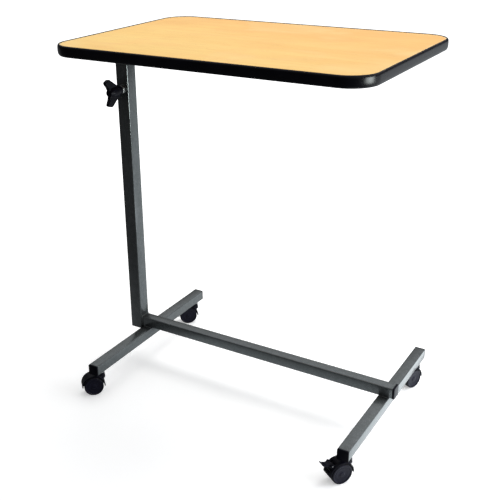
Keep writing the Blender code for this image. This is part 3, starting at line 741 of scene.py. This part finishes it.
def screw_thread():
    """A helical ridge of triangular section that fades in and out over its first and last turn."""
    total = THREAD_TURNS * THREAD_STEPS
    verts, faces = [], []
    for step in range(total + 1):
        angle = 2 * math.pi * step / THREAD_STEPS
        z = THREAD_START + THREAD_PITCH * step / THREAD_STEPS
        fade = min(1.0, step / THREAD_STEPS, (total - step) / THREAD_STEPS)
        crest = SHANK_RADIUS + THREAD_DEPTH * fade
        for radius, dz in ((THREAD_ROOT, -THREAD_HALF), (crest, 0.0), (THREAD_ROOT, THREAD_HALF)):
            verts.append((radius * math.cos(angle), radius * math.sin(angle), z + dz))
    for b in range(0, 3 * total, 3):
        faces += [(b, b + 1, b + 4, b + 3), (b + 1, b + 2, b + 5, b + 4), (b + 2, b, b + 3, b + 5)]
    faces += [(0, 2, 1), (3 * total, 3 * total + 1, 3 * total + 2)]
    return obj_from("thread", verts, faces)


def board_screw(number):
    """A pan-head chipboard screw with a cross recess, its head at the bottom."""
    node = f"board_screw_{number}"
    screw = turned("screw", rounded_profile(SCREW, 5), 48)
    thread = screw_thread()
    cross = []
    for turn in (0, 90):
        blade = prism("blade", RECESS, -RECESS_HALF, RECESS_HALF, "XZ")
        blade.data.transform(Matrix.Rotation(math.radians(turn + 20 * number), 4, "Z"))
        cross.append(("DIFFERENCE", blade))
    boolean(screw, cross)
    screw.data.name = screw.name = node + "_turned"
    joined = bmesh.new()
    joined.from_mesh(screw.data)
    joined.from_mesh(thread.data)
    joined.to_mesh(screw.data)
    joined.free()
    drop(thread)
    shade(screw, 32.0)
    lo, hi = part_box(node)
    seat = Matrix.Translation(((lo.x + hi.x) / 2, (lo.y + hi.y) / 2, lo.z))
    settle(screw, seat, "table_top", "zinc_steel", node)


edge_moulding()
laminate_sheet()
for screw_number in range(1, 5):
    board_screw(screw_number)

# =====================================================================================================
# Weld beads, in mm from the column's axis
# =====================================================================================================
RIPPLE_PITCH = 2.5
BEAD_STEP = 0.28  # length of one ring of the bead
BEAD_RING = 12  # vertices round the bead

spine_lo, spine_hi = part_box("spine_tube")
SPINE_HALF = (spine_hi.y - spine_lo.y) / 2 / MM


def bead_line(corners, lengths, steps):
    """Evenly spaced points along the run, its corners then rounded."""
    total = sum(lengths)
    line = []
    for k in range(steps + 1):
        rest = total * k / steps
        i = 0
        while i < len(lengths) - 1 and rest > lengths[i]:
            rest -= lengths[i]
            i += 1
        line.append(corners[i].lerp(corners[i + 1], min(1.0, rest / lengths[i])))
    for _ in range(10):
        moved = list(line)
        for k in range(1, steps):
            moved[k] = (line[k - 1] + line[k] * 2 + line[k + 1]) / 4
        line = moved
    return line


def bead(name, points, radius, body, seed, closed=False):
    """A run of weld: overlapping ripples along a polyline, tapering at the ends of an open run."""
    corners = [Vector(point) for point in points]
    if closed:
        corners.append(corners[0])
    lengths = [(b - a).length for a, b in zip(corners, corners[1:])]
    total = sum(lengths)
    steps = max(12, int(total / BEAD_STEP))
    draws = np.random.default_rng(seed).uniform(-1, 1, 12)
    wobble = np.interp(np.linspace(0, 1, steps + 1), np.linspace(0, 1, 12), draws)
    line = bead_line(corners, lengths, steps)
    verts, faces = [], []
    for k, point in enumerate(line):
        along = (line[min(steps, k + 1)] - line[max(0, k - 1)]).normalized()
        steep = abs(along.z) > 0.9
        side = (along.orthogonal() if steep else along.cross(Vector((0, 0, 1)))).normalized()
        up = side.cross(along).normalized()
        run = total * k / steps
        phase = (run / RIPPLE_PITCH) % 1.0
        ripple = 0.96 + 0.10 * abs(math.sin(math.pi * phase)) ** 0.7 + 0.07 * wobble[k]
        taper = 1.0 if closed else min(1.0, 0.25 + min(run, total - run) / (radius * 1.4))
        r = radius * ripple * taper
        for j in range(BEAD_RING):
            angle = 2 * math.pi * j / BEAD_RING
            verts.append(point + side * (r * math.cos(angle)) + up * (r * math.sin(angle)))
    for k in range(steps):
        a, b = k * BEAD_RING, (k + 1) * BEAD_RING
        for j in range(BEAD_RING):
            n = (j + 1) % BEAD_RING
            faces.append((a + j, a + n, b + n, b + j))
    last = steps * BEAD_RING
    faces += [tuple(reversed(range(BEAD_RING))), tuple(range(last, last + BEAD_RING))]
    obj = obj_from(name, verts, faces)
    shade(obj)
    settle(obj, ORIGIN, body, "frame_paint")


def x_span(box):
    return [(corner.x - OX) / MM for corner in box]


def spine_column_weld():
    """Up one side of the spine, across its top and down the other, against the column."""
    x, y = COLUMN_HALF + 0.2, SPINE_HALF + 0.2
    low, high = spine_lo.z / MM + 1.5, spine_hi.z / MM + 0.2
    points = [(x, -y, low), (x, -y, high), (x, y, high), (x, y, low)]
    bead("weld_spine_to_column", points, 1.55, "base_frame", seed=1)


def spine_foot_welds():
    y = SPINE_HALF + 0.15
    for foot, first_seed in (("column", 15), ("far", 12)):
        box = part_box(foot + "_foot_tube")
        x0, x1 = x_span(box)
        z = box[1].z / MM + 0.1
        for side, sign, seed in (("front", -1, first_seed), ("rear", 1, first_seed + 2)):
            points = [(x0 + 1.6, sign * y, z), (x1 - 1.6, sign * y, z)]
            bead(f"weld_spine_{foot}_foot_{side}", points, 1.35, "base_frame", seed=seed)


def support_welds():
    """Inner tube to the rail, then the straps to the rail."""
    rail_lo, rail_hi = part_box("support_rail")
    side = SPINE_HALF + 0.1
    y, z = side - 1.5, rail_lo.z / MM - 0.1
    for name, x, seed in (("left", -side, 21), ("right", side, 22)):
        points = [(x, -y, z), (x, y, z)]
        bead("weld_inner_tube_to_rail_" + name, points, 1.2, "table_top", seed=seed)
    y, z = side - 2, rail_hi.z / MM + 0.35
    for strap, key, first_seed in (("near_column", "near", 38), ("far", "far", 37)):
        x0, x1 = x_span(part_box("cross_strap_" + strap))
        for name, x, seed in (("left", x0 - 0.2, first_seed), ("right", x1 + 0.2, first_seed + 1)):
            points = [(x, -y, z), (x, y, z)]
            bead(f"weld_strap_{key}_{name}", points, 1.0, "table_top", seed=seed)


def boss_weld():
    radius, points = BOSS_RADIUS + 0.1, []
    for degrees in range(0, 360, 10):
        angle = math.radians(degrees)
        x, z = radius * math.cos(angle), BOSS_Z + radius * math.sin(angle)
        points.append((x, -COLUMN_HALF - 0.15, z))
    bead("weld_clamp_boss", points, 0.85, "base_frame", seed=40, closed=True)


spine_column_weld()
spine_foot_welds()
support_welds()
boss_weld()

# =====================================================================================================
# Clamping knob: two broad wings on a hub, moulded in one piece. Local Z is the clamp's axis,
# running out of the column's -Y face.
# =====================================================================================================
KNOB_TILT = 5.7  # degrees about its axis
WING_HALF = 4.2  # half the wings' thickness
WING = [  # one wing's edge from the hub out and back, (distance from the axis, z)
    (9.1, 8.6), (9.5, 12.5), (11.4, 17.5), (17.5, 26.2), (24.4, 36.0), (26.3, 38.9), (26.7, 41.2),
    (24.5, 47.6), (23.0, 50.4), (20.7, 51.3), (17.8, 49.9), (11.6, 45.4), (6.0, 43.3),
]
WING_DIP = (0.0, 42.7)  # the saddle between the wings
HUB = (  # radius, z, rounding
    (0, 43.6, 0), (6.5, 42.8, 1.5), (10.2, 35.0, 4.0), (10.6, 22.0, 6.0), (9.9, 14.0, 4.0),
    (9.0, 8.45, 0.8), (0, 8.45, 0),
)


def clamp_knob():
    wings = WING + [WING_DIP] + [(-reach, z) for reach, z in reversed(WING)]
    knob = prism("clamp_knob_moulded", wings, -WING_HALF, WING_HALF)
    bevel(knob, width=1.5, segments=4, angle=50.0)
    boolean(knob, [("UNION", turned("hub", rounded_profile(HUB, 6), 64))])
    remesh(knob, voxel=0.42, relax_steps=7, keep=0.45)
    boolean(knob, [("DIFFERENCE", plug(radius=4.3, top=30.0, bottom=5.0))])
    shade(knob, 40.0)
    seat = ORIGIN @ Matrix.Translation((0, -COLUMN_HALF * MM, BOSS_Z * MM))
    seat = seat @ Matrix.Rotation(math.radians(90), 4, "X")
    seat = seat @ Matrix.Rotation(math.radians(KNOB_TILT), 4, "Z")
    settle(knob, seat, "clamp_screw", "black_plastic", "clamp_knob")


clamp_knob()

# =====================================================================================================
# Casters. Local Z is the swivel axis from the floor up, local X runs along the axle, and the axle
# trails towards -Y. Angles round the axle are in degrees, 0 at -Y and 90 upwards.
# =====================================================================================================
TRAIL, WHEEL_RADIUS = 16.0, 20.0
AXLE = (-TRAIL, WHEEL_RADIUS)  # (y, z)
HOOD_RADIUS, HOOD_HALF, HOOD_WALL = 24.0, 12.6, 2.3
RIB_X, RIB_HALF = 9.2, 0.7
NECK = (  # radius, z, rounding
    (0, 47.7, 0), (8.6, 47.7, 0.8), (8.6, 44.0, 2.0), (9.5, 37.0, 2.0), (9.5, 34.5, 0.0),
    (0, 34.5, 0),
)
WHEEL = (  # radius, z, rounding: outer face, tread, inner face, then the blind axle bore
    (0, 12.75, 0), (3.3, 12.75, 0.5), (4.3, 12.35, 0.5), (5.0, 11.75, 0.4), (9.6, 11.75, 0.3),
    (10.0, 12.05, 0.3), (14.6, 12.25, 0.3), (15.5, 12.15, 0.3), (16.2, 12.75, 0.5),
    (16.9, 13.25, 0.4), (18.9, 13.25, 0.9), (19.75, 12.5, 0.9), (20.0, 11.4, 1.2),
    (20.0, 5.2, 1.2), (19.75, 4.1, 0.9), (18.9, 3.35, 0.9), (16.4, 3.35, 0.6), (15.6, 4.2, 0.4),
    (6.4, 4.2, 0.4), (5.6, 3.35, 0.4), (2.8, 3.35, 0.3), (2.8, 11.0, 0.0), (0, 11.0, 0),
)
# The lever's outlines, (y, z) from its pivot
LEVER_TAB = [
    (0.6, 2.5), (-6.0, 3.1), (-12.0, 4.3), (-16.2, 6.3), (-18.6, 8.2), (-19.5, 7.6),
    (-17.2, 4.1), (-12.0, 0.8), (-5.5, -1.5), (-1.0, -2.5),
]
LEVER_NOSE = [
    (-2.1, -1.0), (-2.1, -5.0), (-3.4, -9.0), (-2.3, -12.0), (-1.3, -11.9), (-0.3, -9.4),
    (1.3, -5.0), (2.1, 0.0),
]


def around_axle(degrees, radius):
    angle = math.radians(degrees)
    return (AXLE[0] - radius * math.cos(angle), AXLE[1] + radius * math.sin(angle))


def arc(radius, start, end, steps):
    """Points (y, z) round the axle from the start angle to the end angle."""
    return [around_axle(start + (end - start) * i / steps, radius) for i in range(steps + 1)]


PIVOT = around_axle(48.0, 27.3)  # the brake lever's pin, (y, z)


def hood_piece(name, braked):
    """The moulded body: a curved fender over both wheels, a web between them, the swivel neck."""
    outer, inner = HOOD_RADIUS, HOOD_RADIUS - HOOD_WALL
    fender = arc(outer, -1.5, 183.5, 64) + arc(inner, 183.5, -1.5, 64)
    hood = prism(name, fender, -HOOD_HALF, HOOD_HALF)
    bevel(hood, width=0.7, segments=3, angle=40.0)
    web = arc(outer - 1.0, 2, 178, 40) + arc(14.0, 200, 340, 20)
    steps = [
        ("UNION", turned("neck", rounded_profile(NECK, 5), 56)),
        ("DIFFERENCE", prism("room", circle(outer - 2.5, 72, *AXLE), -16, 16)),
        ("UNION", prism("web", web, -2.4, 2.4)),
    ]
    rib = arc(outer - 0.8, 96, 140, 10) + arc(outer + 1.7, 132, 104, 6)
    for x in (-RIB_X, RIB_X):  # ribs that stiffen the fender into the neck
        steps.append(("UNION", prism("rib", rib, x - RIB_HALF, x + RIB_HALF)))
    if braked:  # lugs for the lever's pin, with the lever's slot between them
        lugs = arc(outer - 1.4, 37, 59, 10) + arc(30.8, 53.5, 42.5, 8)
        slot = arc(outer + 9, 12, 66, 16) + arc(outer - 5.0, 66, 12, 16)
        steps.append(("UNION", prism("lugs", lugs, -9.4, 9.4)))
        steps.append(("DIFFERENCE", prism("slot", slot, -6.7, 6.7)))
    boolean(hood, steps)
    remesh(hood, voxel=0.40, relax_steps=5, keep=0.30)
    cuts = [("DIFFERENCE", plug(radius=4.25, top=60.0, bottom=39.5))]
    cuts.append(("DIFFERENCE", prism("axle_bore", circle(2.75, 40, *AXLE), -20, 20)))
    if braked:
        cuts.append(("DIFFERENCE", prism("pin_bore", circle(1.35, 24, *PIVOT), -12, 12)))
    boolean(hood, cuts)
    shade(hood, 42.0)
    return hood


def plain_hood_mesh():
    """The unbraked hood's mesh, shared out as copies."""
    hood = hood_piece("caster_body_plain", braked=False)
    mesh = hood.data
    bpy.data.objects.remove(hood, do_unlink=True)
    return mesh


def lever_piece(name):
    """Brake lever about its pivot: barrel, upswept toe tab and the nose that wedges the wheels."""
    lever = prism(name, smooth_outline(LEVER_TAB), -6.0, 6.0)
    bevel(lever, width=0.6, segments=3, angle=40.0)
    steps = [
        ("UNION", prism("barrel", circle(2.85, 48), -6.1, 6.1)),
        ("UNION", prism("nose", smooth_outline(LEVER_NOSE), -5.7, 5.7)),
    ]
    for k in range(3):  # grip ridges across the toe tab
        ridge = circle(0.62, 20, -10.8 - 2.1 * k, 4.15 + 0.85 * k)
        steps.append(("UNION", prism("ridge", ridge, -4.9, 4.9)))
    boolean(lever, steps)
    remesh(lever, voxel=0.24, relax_steps=3, keep=0.35)
    boolean(lever, [("DIFFERENCE", prism("bore", circle(1.45, 28), -10, 10))])
    shade(lever, 42.0)
    return lever


def caster(place, braked, plain_mesh):
    swivel = joints["caster_swivel_" + place]["pos_m"]
    axis = joints["wheel_spin_outer_" + place]["axis"]
    seat = Matrix.Translation((swivel[0], swivel[1], 0.0))
    seat = seat @ Matrix.Rotation(math.atan2(axis[1], axis[0]), 4, "Z")
    name = "caster_body_" + place
    if braked:
        hood = hood_piece(name, braked=True)
    else:
        hood = bpy.data.objects.new(name, plain_mesh.copy())
        scene.collection.objects.link(hood)
    settle(hood, seat, "caster_" + place, "black_plastic", "caster_hood_" + place)
    hub = seat @ Matrix.Translation((0, AXLE[0] * MM, AXLE[1] * MM))
    for side, turn in (("outer", 90), ("inner", -90)):
        key = f"wheel_{side}_{place}"
        wheel = turned(key + "_turned", rounded_profile(WHEEL, 4), 96)
        shade(wheel, 38.0)
        facing = hub @ Matrix.Rotation(math.radians(turn), 4, "Y")
        settle(wheel, facing, key, "wheel_plastic", "caster_" + key)
    if braked:
        lever = lever_piece("brake_lever_moulded")
        pin = seat @ Matrix.Translation((0, PIVOT[0] * MM, PIVOT[1] * MM))
        key = "brake_lever_" + place
        settle(lever, pin, key, "black_plastic", key)


plain_mesh = plain_hood_mesh()
for caster_place in ("front_left", "front_right", "rear_left", "rear_right"):
    caster(caster_place, caster_place == "front_right", plain_mesh)

# =====================================================================================================
# Stage, light and camera
# =====================================================================================================
FLOOR_RADIUS, FLOOR_Z = 14.0, -0.0002  # m
FLOOR_PATCH, FLOOR_REAR = 1.15, 0.60  # mirrored glow beside the far foot, and towards the rear
# The room's brightness: everywhere, then added overhead, at the right and at the rear
SKY_BASE, SKY_TOP, SKY_RIGHT, SKY_REAR = 0.03, 0.42, 0.20, 0.30


def studio_floor():
    """The camera sees a pale floor; reflections see it dim in front, lit at the rear and right."""
    g = Material("studio_floor")
    tone = g.mix((0.90, 0.90, 0.905), (0.93, 0.93, 0.93), g.noise(scale=1.3), span=(0.3, 0.7))
    rays = g.new("LightPath").outputs
    shown, mirrored = rays["Is Camera Ray"], rays["Is Glossy Ray"]
    x, y = g.split(g.obj)[0], g.split(g.obj)[1]
    rise, fall = g.remap(x, span=(OX + 0.55, OX + 0.64)), g.remap(x, span=(OX + 1.05, OX + 0.85))
    off_centre = g.math("ABSOLUTE", g.math("SUBTRACT", y, OY + 0.05))
    reach = g.remap(off_centre, span=(0.75, 0.25))
    patch = g.multiply(g.multiply(g.multiply(rise, fall), reach), FLOOR_PATCH)
    near = g.remap(x, span=(OX - 0.02, OX + 0.10), to=(0.25, 1.0))
    behind = g.multiply(g.remap(y, span=(-0.36, 0.04), to=(0.0, FLOOR_REAR)), near)
    lit = g.multiply(mirrored, g.add(patch, behind))
    fade = g.remap(g.distance(x, y), span=(0.6, 2.2), to=(0.40, 0.95))
    unseen = g.mix((0.15, 0.15, 0.154), (0.07, 0.07, 0.072), mirrored)
    g.set(Base_Color=g.mix(unseen, tone, shown), Roughness=0.85, Specular_IOR_Level=0.1)
    g.set(Emission_Color=g.mix((0.91, 0.97, 1.0), (1.0, 1.0, 1.0), shown))
    g.set(Emission_Strength=g.add(lit, g.multiply(shown, fade)))
    return g.mat


def lay_floor():
    mesh = bpy.data.meshes.new("floor")
    bm = bmesh.new()
    bmesh.ops.create_circle(bm, cap_ends=True, radius=FLOOR_RADIUS, segments=96)
    bm.to_mesh(mesh)
    bm.free()
    floor = bpy.data.objects.new("floor", mesh)
    floor.location = (0, 0, FLOOR_Z)
    scene.collection.objects.link(floor)
    mesh.materials.append(studio_floor())


def studio_world():
    """White to the camera; otherwise a dim room, pale ceiling, paler to the right and rear."""
    world = bpy.data.worlds.new("studio")
    scene.world = world
    world.use_nodes = True
    g = Graph(world.node_tree)
    x, y, z = g.split(g.new("TexCoord").outputs["Generated"])
    ceiling = g.remap(z, span=(0.15, 0.95))
    right = g.multiply(g.remap(x, span=(0.1, 0.9)), g.remap(z, span=(-0.05, 0.2)))
    rear = g.multiply(g.remap(y, span=(-0.2, 0.8)), g.remap(z, span=(0.10, 0.42)))
    level = SKY_BASE
    for part, strength in ((ceiling, SKY_TOP), (right, SKY_RIGHT), (rear, SKY_REAR)):
        level = g.math("MULTIPLY_ADD", part, strength, level)
    around = g.new("Background", {0: (0.97, 0.985, 1.0), 1: level}).outputs[0]
    seen = g.new("Background", {0: (1.0, 1.0, 1.0), 1: 1.0}).outputs[0]
    camera_ray = g.new("LightPath").outputs["Is Camera Ray"]
    pick = g.new("MixShader", {0: camera_ray, 1: around, 2: seen}).outputs[0]
    g.new("OutputWorld", {0: pick})


def area(name, size, power, position, target, colour, spread=180.0, glint=False):
    """A rectangular light, sizes in metres. A glint shows only in reflections, the rest never."""
    light = bpy.data.lights.new(name, "AREA")
    light.shape = "RECTANGLE"
    light.size, light.size_y = size
    light.energy = power
    light.color = colour
    light.spread = math.radians(spread)
    obj = bpy.data.objects.new(name, light)
    scene.collection.objects.link(obj)
    obj.location = position
    aim = Vector(target) - Vector(position)
    obj.rotation_euler = aim.to_track_quat("-Z", "Y").to_euler()
    obj.visible_camera = False
    obj.visible_glossy = glint
    obj.visible_diffuse = not glint


def place_lights():
    area(
        "overhead", size=(2.2, 1.6), power=41.0, colour=(1.0, 0.99, 0.97),
        position=(OX + 0.45, 0.85, 2.45), target=(OX + 0.30, 0.05, 0.4),
    )
    area(
        "right_low", size=(0.9, 0.45), power=7.0, colour=(0.94, 0.97, 1.0),
        position=(OX + 1.35, 0.10, 0.34), target=(OX + 0.55, -0.05, 0.10),
    )
    area(
        "rear_right", size=(1.6, 1.2), power=12.0, colour=(0.98, 0.99, 1.0),
        position=(OX + 1.7, 1.5, 1.5), target=(OX + 0.25, 0.0, 0.4),
    )
    area(
        "corner_glint", size=(0.60, 0.44), power=1.4, colour=(0.93, 1.0, 0.97),
        position=(OX + 1.571, OY - 0.09, 0.60), target=(OX + 0.578, OY - 0.198, 0.702),
        spread=60.0, glint=True,
    )


def place_camera():
    """Looks down on the table from its +X, -Y side."""
    yaw, pitch, roll = math.radians(31.63), math.radians(23.578), math.radians(-0.85)
    forward = Vector((
        -math.sin(yaw) * math.cos(pitch), math.cos(yaw) * math.cos(pitch), -math.sin(pitch)
    ))
    level = Vector((math.cos(yaw), math.sin(yaw), 0.0))
    upright = level.cross(forward)
    right = level * math.cos(roll) + upright * math.sin(roll)
    up = upright * math.cos(roll) - level * math.sin(roll)
    pose = Matrix((right, up, -forward)).transposed().to_4x4()
    pose.translation = (OX + 1.0127, OY - 1.30041, 0.959)
    camera = bpy.data.objects.new("camera", bpy.data.cameras.new("camera"))
    scene.collection.objects.link(camera)
    camera.matrix_world = pose
    camera.data.sensor_width = 36.0
    camera.data.lens = 59.836
    camera.data.shift_x = 0.06
    camera.data.clip_start = 0.02
    camera.data.clip_end = 60.0
    scene.camera = camera


scene.view_settings.view_transform = "Standard"
scene.view_settings.look = "None"
scene.view_settings.exposure = 0.0
scene.view_settings.gamma = 1.0
lay_floor()
studio_world()
place_lights()
place_camera()
